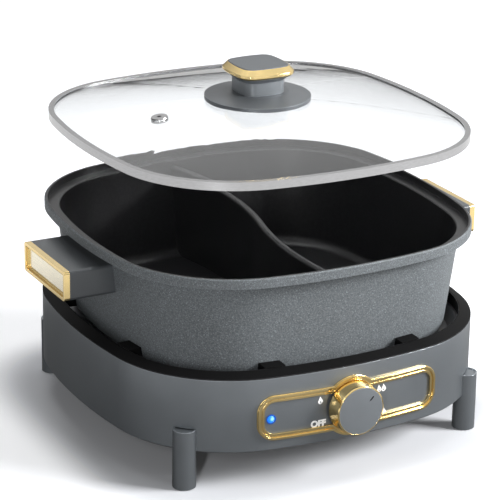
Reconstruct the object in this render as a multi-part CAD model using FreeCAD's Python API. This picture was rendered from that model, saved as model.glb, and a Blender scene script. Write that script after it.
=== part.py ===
import FreeCAD, Part
import math
import os

# Electric hot pot: a square pot with a cast S-shaped divider stands in a heated base, under a glass
# lid that is held straight above it. Millimetres, +Z up, and the control panel faces -Y. The origin is
# on the floor, on the centre line of the pot.

# Plan of the pot's rim. Every other large outline is the rim's, moved in or out by an even distance.
rim_half = 150.0
side_radius = 438.0
corner_radius = 95.0

# Pot
pot_height = 87.3
rim_band_height = 7.4
rim_overhang = 9.0
rim_edge = 0.8
lip_wall = 2.5
ledge_depth = 5.5
ledge_edge = 0.8
pot_wall = 3.0
pot_floor = 4.0
pot_draft = math.radians(7.0)
pot_bottom_radius = 12.0

# Divider: two arcs that meet on a slanted tangent, seen from above
divider_wall = 6.0
divider_below_rim = 11.0
divider_cross_y = -8.0
divider_slant = math.radians(15.0)
divider_front_radius = 300.0
divider_back_radius = 262.0

# Handles
handle_proud = 27.0
handle_width = 75.0
handle_height = 23.0
handle_below_rim = 14.3
handle_edge_round = 2.5
grip_scoop = 3.0
grip_scoop_length = 56.0
frame_depth = 4.5
frame_edge = 2.6
frame_step = 1.4
frame_step_drop = 1.2
inlay_drop = 2.2
handle_lug_radius = 7.0
handle_lug_length = 8.0
handle_screw_radius = 2.5
handle_screw_head_radius = 4.5
handle_screw_head = 3.0

# Base housing
floor_gap = 28.3
housing_height = 56.8
housing_wall = 2.5
housing_edge = 1.2
pot_sink = 11.1
well_gap = 10.1
ring_width = 9.5
ring_rise = 4.0
ring_edge = 0.8
ring_crest = 1.2
ring_skirt_wall = 2.2
ring_skirt_depth = 5.0

# Guide pads between the ring and the pot
pad_width = 16.0
pad_spread = 57.0
pad_height = 7.5
pad_above_ring = 1.0
pad_end_round = 2.0

# Bottom cover and feet
cover_thickness = 2.5
vent_width = 3.0
vent_length = 34.0
vent_pitch = 8.0
vents_in_row = 9
vent_row_y = 62.0
foot_radius = 8.75
foot_top = 46.0
foot_wall = 2.5
foot_recess = 0.6
foot_pad_inset = 1.35
foot_pad_thickness = 2.0
foot_screw_radius = 2.0
foot_screw_head_radius = 3.8

# Reflector pan, heating plate and element
sheet = 0.8
pan_flange_width = 7.6
pan_wall_run = 6.0
pan_step_depth = 8.8
dish_margin = 12.0
dish_wall_run = 5.0
dish_depth = 13.2
pan_hole_radius = 22.0
plate_radius = 100.0
plate_thickness = 8.0
plate_hole_radius = 14.0
plate_bevel = 1.0
post_radius = 4.0
post_inset = 11.0
element_inset = 28.0
element_rib = 6.0
element_rib_width = 11.0
element_radius = 4.0
element_sink = 3.0
element_gap_angle = 50.0
element_leg = 8.0
terminal_pin_radius = 1.6
terminal_pin_length = 7.0

# Sprung temperature sensor in the middle of the plate
sensor_radius = 11.0
sensor_roof = 1.6
sensor_skirt = 8.0
sensor_stem_radius = 2.5
sensor_rise = 1.5
sensor_clip_radius = 5.0
sensor_clip_thickness = 1.0
holder_tube_radius = 13.4
holder_wall = 1.8
holder_depth = 11.0
holder_flange_radius = 27.0
spring_radius = 6.5
spring_wire_radius = 0.6

# Columns that the pan and the bottom cover are screwed to
column_radius = 3.6
column_inset = 2.9
column_along = 84.0
small_screw_radius = 1.25
small_head_radius = 1.8
small_head_height = 1.4
small_screw_length = 9.0

# Control panel
panel_below_top = 30.6
panel_half_length = 75.0
panel_half_height = 17.5
panel_corner = 13.0
panel_bump_gap = 3.3
panel_rim_width = 5.0
panel_rim_base = 1.0
panel_ridge = 1.2
panel_ridge_width = 1.7
panel_groove = 1.3
panel_edge_line = 0.3

# Control knob and its switch
knob_radius = 20.2
knob_face_inset = 2.2
knob_taper = 1.0
knob_proud = 14.5
knob_wall = 1.6
knob_dome = 0.7
knob_edge = 0.6
knob_stand_off = 1.9
knob_pointer_turn = 45.0
knob_pointer_length = 4.5
knob_pointer_width = 1.2
knob_pointer_inset = 3.5
shaft_radius = 3.0
shaft_bore_gap = 0.05
shaft_hole_radius = 4.2
switch_width = 28.0
switch_depth = 22.0
switch_height = 25.0
switch_plate_width = 50.0
switch_plate = 1.6
switch_screw_spread = 20.0
switch_boss_length = 4.0
switch_boss_radius = 3.4

# Indicator lamp
lamp_x = -64.5
lamp_drop = 1.0
lamp_radius = 2.8
lamp_proud = 1.6
lamp_holder = 12.0
lamp_holder_depth = 7.0

# Mains inlet at the back
inlet_width = 27.0
inlet_height = 20.0
inlet_corner = 4.0
inlet_depth = 16.0
inlet_proud = 12.0
inlet_wall = 2.2
inlet_flange_margin = 4.5
inlet_flange = 2.0
inlet_pin_width = 4.0
inlet_pin_thickness = 2.0
inlet_pin_length = 12.0
inlet_pin_spread = 7.0
inlet_pin_raise = 2.0
terminal_block_length = 40.0
terminal_block_width = 14.0
terminal_block_height = 13.0

# Lid
lid_raised = 70.2
lid_clearance = 1.6
lid_band_height = 6.3
lid_band_sheet = 0.6
lid_band_fold = 4.2
glass = 4.0
dome_rise = 18.8
dome_power = 1.6
dome_sections = (1.0, 0.8, 0.58, 0.36, 0.16)
glass_ring = 2.5
vent_x = -82.5
vent_hole_radius = 5.0
vent_flange_radius = 6.5
vent_flange = 1.1
steam_hole_radius = 1.6

# Lid knob, whose bulged sides have a radius that is this many times their half width
knob_side = 3.5
flange_radius = 40.5
flange_edge = 3.0
flange_rise = 2.0
neck_half = 17.5
neck_round = 9.0
neck_height = 14.0
neck_flare = 4.0
crown_half = 24.0
crown_round = 12.0
crown_height = 7.2
crown_bevel = 3.7
crown_underside = 1.5
crown_cap_inset = 4.2
crown_cap_sink = 2.0
crown_cap_edge = 0.5
lid_screw_radius = 3.0
lid_screw_head_radius = 6.0
lid_screw_head = 3.0
lid_screw_edge = 1.0
lid_washer_radius = 11.0
lid_washer = 1.5

# Clearances
seat_gap = 0.2
slip_gap = 0.3
push_gap = 0.1

# Heights that follow from the sizes above
housing_top = floor_gap + housing_height
pot_seat = housing_top - pot_sink
rim_top = pot_seat + pot_height
band_bottom = rim_top - rim_band_height
ledge_z = rim_top - ledge_depth
ring_top = housing_top + ring_rise
cover_top = floor_gap + cover_thickness
plate_top = pot_seat - seat_gap
plate_bottom = plate_top - plate_thickness
pan_flange_z = housing_top - ring_skirt_depth - sheet
pan_tray_z = pan_flange_z - pan_step_depth
dish_floor_z = pan_tray_z + sheet - dish_depth
panel_z = housing_top - panel_below_top
lid_bottom = ledge_z + lid_raised
glass_bottom = lid_bottom + lid_band_sheet
dome_top = glass_bottom + glass + dome_rise

# Insets, measured inwards from the rim's outline
pot_draft_slope = math.tan(pot_draft)
well_inset = rim_overhang + (band_bottom - ring_top) * pot_draft_slope - well_gap
housing_inset = well_inset - ring_width
housing_inner_inset = housing_inset + housing_wall
lid_inset = lip_wall + lid_clearance
handle_reach = rim_half + handle_proud
dish_radius = plate_radius + dish_margin
post_circle = plate_radius - post_inset
element_circle = plate_radius - element_inset
knob_face_radius = knob_radius - knob_face_inset
knob_pointer_reach = knob_face_radius - knob_pointer_inset
panel_bump_radius = knob_radius + panel_bump_gap
foot_pad_radius = foot_radius - foot_pad_inset

V = FreeCAD.Vector
ALONG_X = V(1, 0, 0)
ALONG_Y = V(0, 1, 0)
ALONG_Z = V(0, 0, 1)
ORIGIN = V(0, 0, 0)


class Outline:
    """A square with gently bulged sides and round corners, seen from above."""

    def __init__(self, half, side, corner):
        self.half = half
        self.side = side
        self.corner = corner
        lift = side - half
        reach = side - corner
        self.corner_centre = (math.sqrt(2 * reach**2 - lift**2) - lift) / 2
        self.half_angle = math.atan2(self.corner_centre, self.corner_centre + lift)

    def inset(self, distance):
        return Outline(self.half - distance, self.side - distance, self.corner - distance)

    def scaled(self, factor):
        return Outline(self.half * factor, self.side * factor, self.corner * factor)

    def arcs(self):
        """The outline's eight arcs in turn, each as (centre, radius, start angle, end angle)."""
        turn = self.half_angle
        reach = self.corner_centre * math.sqrt(2)
        found = []
        for quarter in range(4):
            start = math.pi / 2 * (quarter - 1)
            found.append((polar(self.half - self.side, start), self.side, start - turn, start + turn))
            corner_centre = polar(reach, start + math.pi / 4)
            found.append((corner_centre, self.corner, start + turn, start + math.pi / 2 - turn))
        return found

    def wire(self, z):
        return Part.Wire([arc(c + ALONG_Z * z, radius, start, end) for c, radius, start, end in self.arcs()])

    def prism(self, low, high):
        return Part.Face(self.wire(low)).extrude(ALONG_Z * (high - low))

    def side_at(self, offset):
        """How far out a side lies, this far along it from its middle."""
        return self.half - self.side + math.sqrt(self.side**2 - offset**2)

    def corner_axis(self):
        """X and Y of the outline's outermost point on the diagonal."""
        return self.corner_centre + self.corner / math.sqrt(2)


rim = Outline(rim_half, side_radius, corner_radius)


def polar(radius, angle):
    return V(math.cos(angle) * radius, math.sin(angle) * radius, 0)


def arc(centre, radius, start, end):
    points = [centre + polar(radius, angle) for angle in (start, (start + end) / 2, end)]
    return Part.Arc(*points).toShape()


def tapered(lower, low, upper, high):
    """A solid with flat ends between two insets of one outline: each of its eight walls is a cone."""
    reach = lower.half - upper.half
    return swept(lower, [(0, low, 0), (reach, high, 0)])


def profile(corners):
    """Edges through (inset, height, rounding) corners, where the inset is from the rim inwards."""
    points = [V(-inset, 0, height) for inset, height, _ in corners]
    edges = []
    last = points[0]
    for before, here, after, corner in zip(points, points[1:], points[2:], corners[1:]):
        if corner[2]:
            back = (before - here).normalize()
            onward = (after - here).normalize()
            half_turn = back.getAngle(onward) / 2
            run = corner[2] / math.tan(half_turn)
            middle = (back + onward).normalize()
            top = here + middle * (corner[2] / math.sin(half_turn) - corner[2])
            edges.append(Part.makeLine(last, here + back * run))
            edges.append(Part.Arc(here + back * run, top, here + onward * run).toShape())
            last = here + onward * run
        else:
            edges.append(Part.makeLine(last, here))
            last = here
    edges.append(Part.makeLine(last, points[-1]))
    return edges


def swept(outline, corners):
    """A solid whose wall is a profile carried round an outline, with a flat bottom and top."""
    faces = [Part.Face(outline.inset(inset).wire(height)) for inset, height, _ in (corners[0], corners[-1])]
    wall = Part.Wire(profile(corners))
    for centre, radius, start, end in outline.arcs():
        piece = wall.copy()
        piece.translate(V(radius, 0, 0))
        piece.rotate(ORIGIN, ALONG_Z, math.degrees(start))
        piece.translate(centre)
        faces.extend(piece.revolve(centre, ALONG_Z, math.degrees(end - start)).Faces)
    shell = Part.makeShell(faces)
    shell.sewShape()
    solid = Part.makeSolid(shell.Shells[0])
    if solid.Volume < 0:
        solid.reverse()
    return solid


def frustum(low_inset, low, high_inset, high):
    return swept(rim, [(low_inset, low, 0), (high_inset, high, 0)])


def rod(radius, start, end):
    return Part.makeCylinder(radius, (end - start).Length, start, end - start)


def box(low, high):
    size = high - low
    return Part.makeBox(size.x, size.y, size.z, low)


def edges_at(shape, z):
    """The level edges of a shape that lie at one height."""
    return [e for e in shape.Edges if abs(e.BoundBox.ZMin - z) < 0.01 and abs(e.BoundBox.ZMax - z) < 0.01]


def edges_along(shape, direction):
    """The straight edges of a shape that run one way."""
    found = []
    for edge in shape.Edges:
        if len(edge.Vertexes) == 2 and edge.Curve.TypeId == "Part::GeomLine":
            run = edge.Vertexes[1].Point - edge.Vertexes[0].Point
            if run.cross(direction).Length < 0.01:
                found.append(edge)
    return found


def round_plate(half_x, half_z, corner, near, far):
    """A slab with rounded corners, upright on Y, between two distances along Y."""
    shape = box(V(-half_x, near, -half_z), V(half_x, far, half_z))
    return shape.makeFillet(corner, edges_along(shape, ALONG_Y))


def turned(profile):
    """A solid of revolution about Z from (radius, height) points joined by straight lines."""
    points = [V(radius, 0, height) for radius, height in profile]
    wire = Part.makePolygon(points + points[:1])
    return Part.Face(wire).revolve(ORIGIN, ALONG_Z, 360)


def quarter_turns(shape):
    """Four copies of a shape, one on each side of the outline."""
    copies = []
    for quarter in range(4):
        copy = shape.copy()
        copy.rotate(ORIGIN, ALONG_Z, 90 * quarter)
        copies.append(copy)
    return copies


def mirrored_x(shape):
    return shape.mirror(ORIGIN, ALONG_X)


def save(name, *shapes):
    solids = []
    for shape in shapes:
        solids.extend(shape.removeSplitter().Solids)
    whole = solids[0] if len(solids) == 1 else Part.makeCompound(solids)
    whole.exportStep("parts/" + name + ".step")


# Pot

def pot_inset(z):
    return rim_overhang + (band_bottom - z) * pot_draft_slope


def pot_body(grow):
    """The pot's outer wall below the rim band, with its rounded bottom, grown by a clearance."""
    low = pot_seat - grow
    return swept(rim, [
        (rim_half / 2, low, 0), (pot_inset(low) - grow, low, pot_bottom_radius + grow),
        (pot_inset(band_bottom) - grow, band_bottom, 0),
    ])


def pot_hollow():
    low = pot_seat + pot_floor
    wall_top = ledge_z - ledge_edge
    return swept(rim, [
        (rim_half / 2, low, 0), (pot_inset(low) + pot_wall, low, pot_bottom_radius - pot_wall),
        (pot_inset(wall_top) + pot_wall, wall_top, 0),
        (pot_inset(ledge_z) + pot_wall - ledge_edge, ledge_z, 0),
        (lip_wall, ledge_z, 0), (lip_wall, rim_top, 0),
    ])


def divider_side(offset):
    """One face of the divider seen from above, as two arcs from the front wall to the back wall."""
    across = V(math.cos(divider_slant), -math.sin(divider_slant), 0)
    cross = V(0, divider_cross_y, 0)
    front_centre = cross + across * divider_front_radius
    back_centre = cross - across * divider_back_radius
    front_run = rim_half - rim_overhang + divider_cross_y
    back_run = rim_half - rim_overhang - divider_cross_y
    front_end = math.asin(front_run / divider_front_radius - math.sin(divider_slant))
    back_end = math.asin(back_run / divider_back_radius - math.sin(divider_slant))
    meet = math.pi - divider_slant
    front = arc(front_centre, divider_front_radius + offset, math.pi + front_end, meet)
    back = arc(back_centre, divider_back_radius - offset, -divider_slant, back_end)
    return [front, back]


def divider():
    """An even S-shaped wall, with a round top edge, that reaches into the pot's walls."""
    left = divider_side(divider_wall / 2)
    right = divider_side(-divider_wall / 2)
    front = Part.makeLine(left[0].Vertexes[0].Point, right[0].Vertexes[0].Point)
    back = Part.makeLine(left[1].Vertexes[1].Point, right[1].Vertexes[1].Point)
    wire = Part.Wire(Part.__sortEdges__(left + [back] + right + [front]))
    top = rim_top - divider_below_rim
    low = pot_seat + pot_floor / 2
    wall = Part.Face(wire).extrude(ALONG_Z * (top - low))
    wall.translate(ALONG_Z * low)
    long_edges = [e for e in edges_at(wall, top) if e.Length > divider_wall * 2]
    wall = wall.makeFillet(divider_wall * 0.4, long_edges)
    return wall.common(pot_body(0))


def handle_centre_z():
    return rim_top - handle_below_rim - handle_height / 2


def handle_lug():
    """The stud on the pot's wall that the right handle is screwed to."""
    wall_x = rim_half - pot_inset(handle_centre_z()) - pot_wall / 2
    end_x = wall_x + pot_wall / 2 + handle_lug_length
    z = handle_centre_z()
    return rod(handle_lug_radius, V(wall_x, 0, z), V(end_x, 0, z))


def handle_screw():
    lug_end = handle_lug().BoundBox.XMax
    z = handle_centre_z()
    head_x = handle_reach - frame_depth - handle_screw_head - 1
    shank = rod(handle_screw_radius, V(lug_end - handle_lug_length + 1, 0, z), V(head_x, 0, z))
    head = rod(handle_screw_head_radius, V(head_x, 0, z), V(head_x + handle_screw_head, 0, z))
    return shank.fuse(head)


def pot_shell():
    band = swept(rim, [
        (0, band_bottom, 0), (0, rim_top - rim_edge, 0), (rim_edge, rim_top, 0), (lip_wall, rim_top, 0),
    ])
    solid = pot_body(0).fuse(band).cut(pot_hollow())
    lugs = handle_lug().cut(handle_screw())
    return solid.fuse([divider(), lugs, mirrored_x(lugs)])


def handle_slab(near, far, inset=0.0):
    """A block of the handle's section between two distances along X."""
    half_width = handle_width / 2 - inset
    half_height = handle_height / 2 - inset
    mid = handle_centre_z()
    solid = box(V(near, -half_width, mid - half_height), V(far, half_width, mid + half_height))
    radius = max(handle_edge_round - inset, handle_edge_round / 2)
    return solid.makeFillet(radius, edges_along(solid, ALONG_X))


def handle():
    """The right grip, shaped to the pot's wall, with a shallow finger scoop below."""
    end = handle_reach - frame_depth
    solid = handle_slab(rim_half - pot_inset(pot_seat), end)
    solid = solid.cut(pot_body(0))
    lug = handle_lug()
    level = handle_centre_z()
    lug_end = lug.BoundBox.XMax
    pocket = rod(handle_lug_radius + push_gap, V(lug_end - 30, 0, level), V(lug_end, 0, level))
    head_x = handle_screw().BoundBox.XMax - handle_screw_head
    screw_way = rod(handle_screw_head_radius + push_gap, V(head_x, 0, level), V(end + 1, 0, level))
    half = grip_scoop_length / 2
    radius = (half**2 + grip_scoop**2) / (2 * grip_scoop)
    scoop_z = level - handle_height / 2 + grip_scoop - radius
    scoop = rod(radius, V((end + rim_half) / 2 - 8, 0, scoop_z), V(end - 5, 0, scoop_z))
    return solid.cut([pocket, screw_way, handle_screw(), scoop])


def handle_frame():
    """The bright end frame of the right grip: an edge, a step inside it and a thin back."""
    start = handle_reach - frame_depth
    solid = handle_slab(start, handle_reach)
    step = handle_slab(handle_reach - frame_step_drop, handle_reach + 1, frame_edge)
    well = handle_slab(start + 1, handle_reach + 1, frame_edge + frame_step)
    return solid.cut([step, well])


def handle_inlay():
    start = handle_reach - frame_depth + 1
    return handle_slab(start, handle_reach - inlay_drop, frame_edge + frame_step)


# Base

def foot_axis():
    return rim.inset(housing_inset).corner_axis()


def foot_solid(grow):
    spot = foot_axis()
    return rod(foot_radius + grow, V(spot, spot, 0), V(spot, spot, foot_top + grow))


def column_spots():
    """Where the four screw columns stand, beside the middle of each side."""
    out = rim.inset(column_inset).side_at(column_along)
    along = column_along
    return [V(along, -out, 0), V(out, along, 0), V(-along, out, 0), V(-out, -along, 0)]


def housing_shell():
    outer = rim.inset(housing_inset).prism(floor_gap, housing_top)
    outer = outer.makeChamfer(housing_edge, edges_at(outer, floor_gap))
    inner = rim.inset(housing_inner_inset).prism(floor_gap - 1, housing_top + 1)
    return outer, inner


def switch_bosses():
    """The two studs inside the front wall that carry the switch."""
    wall = rim.inset(housing_inner_inset)
    studs = []
    for x in (-switch_screw_spread, switch_screw_spread):
        start = V(x, -wall.side_at(x) - housing_wall / 2, panel_z)
        stud = rod(switch_boss_radius, start, V(x, switch_face_y(), panel_z))
        studs.append(stud.cut(switch_screw(x)))
    return studs


def base_housing():
    outer, inner = housing_shell()
    socket = foot_solid(foot_wall)
    sockets = [s.common(outer) for s in quarter_turns(socket)]
    columns = []
    for spot in column_spots():
        column = rod(column_radius, spot + ALONG_Z * cover_top, spot + ALONG_Z * pan_flange_z)
        columns.append(column.common(outer))
    solid = outer.cut(inner).fuse(sockets + columns + switch_bosses())
    cuts = quarter_turns(foot_solid(push_gap))
    cuts += [foot_screw(p) for p in range(4)]
    cuts += pan_screw_list() + cover_screw_list()
    cuts.append(rod(shaft_hole_radius, V(0, -rim_half - 20, panel_z), V(0, -rim_half + 20, panel_z)))
    cuts.append(lamp_bore(push_gap))
    cuts.append(inlet_body(push_gap))
    return solid.cut(cuts)


def top_ring():
    """The black ring on the housing: it slopes up to a narrow crest, with a skirt down inside."""
    edge = rim.inset(housing_inset).prism(housing_top, housing_top + ring_edge)
    slope = frustum(housing_inset, housing_top + ring_edge, well_inset - ring_crest, ring_top)
    skirt = rim.inset(well_inset - ring_skirt_wall).prism(housing_top - ring_skirt_depth, housing_top)
    well = rim.inset(well_inset).prism(pan_flange_z, ring_top + 1)
    return edge.fuse([slope, skirt]).cut(well)


def guide_pads():
    """Eight rubber pads in the gap between the ring and the pot, two on each side."""
    top = ring_top + pad_above_ring
    reach = rim_half - well_inset
    half = pad_width / 2
    well = rim.inset(well_inset).prism(top - pad_height, top)
    room = well.cut(pot_body(slip_gap))
    pads = []
    for middle in (-pad_spread, pad_spread):
        block = box(V(middle - half, -reach, top - pad_height), V(middle + half, well_gap * 2 - reach, top))
        block = block.makeFillet(pad_end_round, edges_along(block, ALONG_Z))
        pads.extend(quarter_turns(block.common(room)))
    return pads


def bottom_cover():
    solid = rim.inset(housing_inner_inset + slip_gap).prism(floor_gap, cover_top)
    cuts = quarter_turns(foot_solid(foot_wall + slip_gap))
    cuts += cover_screw_list()
    first = -(vents_in_row - 1) / 2
    for row in (-vent_row_y, vent_row_y):
        for place in range(vents_in_row):
            x = (first + place) * vent_pitch
            low = V(x - vent_width / 2, row - vent_length / 2, floor_gap - 1)
            cuts.append(box(low, low + V(vent_width, vent_length, cover_thickness + 2)))
    return solid.cut(cuts)


def foot_post():
    """A round foot, half sunk in the housing's corner, with a shallow recess in its top."""
    spot = foot_axis()
    post = foot_solid(0)
    pad_plug = rod(foot_pad_radius - 2, V(spot, spot, 0), V(spot, spot, foot_pad_thickness + 4))
    pad_seat = rod(foot_pad_radius, V(spot, spot, 0), V(spot, spot, foot_pad_thickness - 0.5))
    recess = rod(foot_radius - 1.2, V(spot, spot, foot_top - foot_recess), V(spot, spot, foot_top + 1))
    lower = box(V(spot - 20, spot - 20, -1), V(spot + 20, spot + 20, 0.5))
    return post.cut([pad_plug, pad_seat, recess, foot_screw(0), lower])


def foot_pad():
    spot = foot_axis()
    pad = rod(foot_pad_radius, V(spot, spot, 0), V(spot, spot, foot_pad_thickness - 0.5))
    return pad.fuse(rod(foot_pad_radius - 2, V(spot, spot, 0), V(spot, spot, foot_pad_thickness + 4)))


def foot_screw(quarter):
    """A screw from inside the housing, on the diagonal, into a foot."""
    inwards = V(-1, -1, 0).normalize()
    spot = V(foot_axis(), foot_axis(), (cover_top + foot_top) / 2)
    head_start = spot + inwards * (foot_radius + foot_wall)
    screw = rod(foot_screw_radius, spot, head_start)
    head = rod(foot_screw_head_radius, head_start, head_start + inwards * 2)
    screw = screw.fuse(head)
    screw.rotate(ORIGIN, ALONG_Z, 90 * quarter)
    return screw


def small_screw(seat, direction):
    """A small screw whose head sits on the seat and whose shank runs along the direction."""
    shank = rod(small_screw_radius, seat, seat + direction * small_screw_length)
    head = rod(small_head_radius, seat - direction * small_head_height, seat)
    return shank.fuse(head)


def pan_screw_list():
    return [small_screw(p + ALONG_Z * (pan_flange_z + sheet), -ALONG_Z) for p in column_spots()]


def cover_screw_list():
    seat = floor_gap + small_head_height
    return [small_screw(p + ALONG_Z * seat, ALONG_Z) for p in column_spots()]


def reflector_pan():
    """A pressed sheet: a flange on the columns, a sloped wall, a flat tray and a round dish in it."""
    flange_inset = housing_inner_inset + slip_gap
    wall_inset = flange_inset + pan_flange_width
    floor_inset = wall_inset + pan_wall_run
    top = pan_flange_z + sheet
    flange = rim.inset(flange_inset).prism(pan_flange_z, top)
    tray = frustum(floor_inset, pan_tray_z, wall_inset, top)
    tray_hollow = frustum(floor_inset + sheet, pan_tray_z + sheet, wall_inset + sheet, top + sheet)
    dish = Part.makeCone(dish_radius - dish_wall_run, dish_radius, dish_depth - sheet,
                         V(0, 0, dish_floor_z), ALONG_Z)
    dish_hollow = Part.makeCone(dish_radius - dish_wall_run - sheet, dish_radius - sheet, dish_depth - sheet,
                                V(0, 0, dish_floor_z + sheet), ALONG_Z)
    solid = flange.fuse([tray, dish])
    holes = [rod(pan_hole_radius, V(0, 0, dish_floor_z - 1), V(0, 0, dish_floor_z + 5))]
    for spot in element_end_spots():
        low = spot + ALONG_Z * (dish_floor_z - 1)
        holes.append(rod(element_radius + 1.5, low, spot + ALONG_Z * plate_bottom))
    holes += pan_screw_list()
    relief = quarter_turns(foot_solid(foot_wall + slip_gap))
    return solid.cut([tray_hollow, dish_hollow] + holes + relief)


def element_end_spots():
    """The two places at the back where the cast-in element comes down out of the plate's rib."""
    angle = math.radians(element_gap_angle / 2)
    return [polar(element_circle, math.pi / 2 + turn) for turn in (-angle, angle)]


def element_ends():
    """The element's two cold ends, each a rod with a thinner terminal pin."""
    ends = []
    for spot in element_end_spots():
        top = spot + ALONG_Z * (plate_bottom - element_rib + element_sink)
        low = spot + ALONG_Z * (dish_floor_z - element_leg)
        end = rod(element_radius, low, top)
        ends.append(end.fuse(rod(terminal_pin_radius, low - ALONG_Z * terminal_pin_length, low)))
    return ends


def heating_plate():
    """A cast disc with the element cast into a rib on its underside, and the sensor's hole."""
    low = plate_bottom - element_rib
    inner = element_circle - element_rib_width / 2
    outer = element_circle + element_rib_width / 2
    draft = element_rib * 0.3
    plate = turned([
        (plate_hole_radius, plate_bottom), (inner - draft, plate_bottom), (inner, low), (outer, low),
        (outer + draft, plate_bottom), (plate_radius, plate_bottom), (plate_radius, plate_top - plate_bevel),
        (plate_radius - plate_bevel, plate_top), (plate_hole_radius, plate_top),
    ])
    return plate.cut(element_ends())


def plate_posts():
    posts = []
    for turn in (30, 150, 270):
        spot = V(post_circle, 0, 0)
        post = rod(post_radius, spot + ALONG_Z * (dish_floor_z + sheet), spot + ALONG_Z * plate_bottom)
        post.rotate(ORIGIN, ALONG_Z, turn)
        posts.append(post)
    return posts


def sensor_cap():
    """The sensor's round cap with its stem, just below the pot."""
    top = pot_seat - slip_gap
    low = stem_low_z()
    cap = turned([
        (0, top), (sensor_radius, top), (sensor_radius, top - sensor_skirt),
        (sensor_radius - sensor_roof, top - sensor_skirt), (sensor_radius - sensor_roof, top - sensor_roof),
        (sensor_stem_radius, top - sensor_roof), (sensor_stem_radius, low), (0, low),
    ])
    return cap.cut(sensor_clip())


def stem_low_z():
    clip_low = holder_low_z() - sensor_rise - slip_gap - sensor_clip_thickness
    return clip_low - 2


def holder_low_z():
    return dish_floor_z - holder_depth


def sensor_clip():
    high = holder_low_z() - sensor_rise - slip_gap
    low = high - sensor_clip_thickness
    groove = sensor_stem_radius - 0.7
    return turned([(groove, low), (sensor_clip_radius, low), (sensor_clip_radius, high), (groove, high)])


def sensor_holder():
    """A cup hung in the pan's middle hole: its bore guides the stem and its floor carries the spring."""
    low = holder_low_z()
    seat = dish_floor_z + sheet
    inner = holder_tube_radius - holder_wall
    return turned([
        (sensor_stem_radius + shaft_bore_gap, low), (holder_tube_radius, low), (holder_tube_radius, seat),
        (holder_flange_radius, seat), (holder_flange_radius, seat + holder_wall), (inner, seat + holder_wall),
        (inner, low + holder_wall), (sensor_stem_radius + shaft_bore_gap, low + holder_wall),
    ])


def sensor_spring():
    """The spring's envelope: a sleeve as thick as its wire, between the holder's floor and the cap."""
    low = holder_low_z() + holder_wall
    high = pot_seat - slip_gap - sensor_roof
    inner = spring_radius - spring_wire_radius
    outer = spring_radius + spring_wire_radius
    return turned([(inner, low), (outer, low), (outer, high), (inner, high)])


# Control panel, knob and switch

def panel_block(inset, near, far):
    """The panel's shape, a long rounded bar with a round bump for the knob, cut from the wall's layer
    that lies between two distances outside the housing."""
    bar = round_plate(panel_half_length - inset, panel_half_height - inset, panel_corner - inset, -200, -120)
    bar.translate(ALONG_Z * panel_z)
    bump = rod(panel_bump_radius - inset, V(0, -200, panel_z), V(0, -120, panel_z))
    low = panel_z - panel_bump_radius - 1
    high = panel_z + panel_bump_radius + 1
    layer = rim.inset(housing_inset - far).prism(low, high)
    inside = rim.inset(housing_inset - near).prism(low - 1, high + 1)
    return bar.fuse(bump).common(layer).cut(inside)


def panel_frame():
    """The gold frame: a flat band with a ridge at its outer edge and a lower one at its inner edge."""
    band = panel_block(0, 0, panel_rim_base)
    outer = panel_block(panel_edge_line, 0, panel_rim_base + panel_ridge)
    outer = outer.cut(panel_block(panel_edge_line + panel_ridge_width, -1, 9))
    inner_start = panel_edge_line + panel_ridge_width + panel_groove
    inner = panel_block(inner_start, 0, panel_rim_base + panel_ridge / 2)
    opening = panel_block(panel_rim_width, -1, 9)
    return band.fuse([outer, inner]).cut(opening)


def knob_front_y():
    return -(rim_half - housing_inset) - knob_proud


def along_front(profile):
    """A solid of revolution about the knob's axis from (radius, distance in front of the wall) points."""
    solid = turned(profile)
    solid.rotate(ORIGIN, ALONG_X, 90)
    solid.translate(V(0, -(rim_half - housing_inset), panel_z))
    return solid


def knob_skirt():
    """The knob's gold body: a tapered cup with a bright edge, and a hub on the switch's shaft."""
    front = knob_proud - knob_dome
    seat = front - knob_wall * 2
    back = knob_stand_off
    rim_radius = knob_radius - knob_taper
    return along_front([
        (shaft_radius, back), (shaft_radius * 2, back), (shaft_radius * 2, seat - knob_wall),
        (rim_radius - knob_wall, seat - knob_wall), (knob_radius - knob_wall, back), (knob_radius, back),
        (rim_radius, front - knob_edge), (rim_radius - knob_edge, front),
        (knob_face_radius, front), (knob_face_radius, seat), (shaft_radius, seat),
    ])


def knob_face():
    """The grey front disc, slightly domed, set in the knob's body."""
    front = knob_proud - knob_dome
    seat = front - knob_wall * 2
    disc = along_front([(0, seat), (knob_face_radius, seat), (knob_face_radius, knob_proud), (0, knob_proud)])
    radius = (knob_face_radius**2 + knob_dome**2) / (2 * knob_dome)
    dome = Part.makeSphere(radius, V(0, knob_front_y() + radius, panel_z))
    return disc.common(dome).cut(knob_pointer())


def knob_pointer():
    """A small bar let into the face, on the side that points at the chosen setting."""
    half = knob_pointer_width / 2
    front = knob_front_y()
    low = V(-half, front - 1, knob_pointer_reach - knob_pointer_length)
    bar = box(low, V(half, front + knob_wall, knob_pointer_reach))
    bar.rotate(ORIGIN, ALONG_Y, knob_pointer_turn)
    bar.translate(ALONG_Z * panel_z)
    radius = (knob_face_radius**2 + knob_dome**2) / (2 * knob_dome)
    return bar.common(Part.makeSphere(radius + 0.1, V(0, front + radius, panel_z)))


def switch_face_y():
    return -rim.inset(housing_inner_inset).side_at(switch_screw_spread) + switch_boss_length


def switch_shaft():
    front = knob_proud - knob_dome - knob_wall * 2
    end = switch_face_y() + switch_plate + switch_depth * 0.6
    return rod(shaft_radius, V(0, -(rim_half - housing_inset) - front, panel_z), V(0, end, panel_z))


def switch_screw(x):
    seat = V(x, switch_face_y() + switch_plate, panel_z)
    length = switch_boss_length - 1
    shank = rod(small_screw_radius, V(x, seat.y - switch_plate - length, panel_z), seat)
    return shank.fuse(rod(small_head_radius, seat, seat + ALONG_Y * small_head_height))


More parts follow.
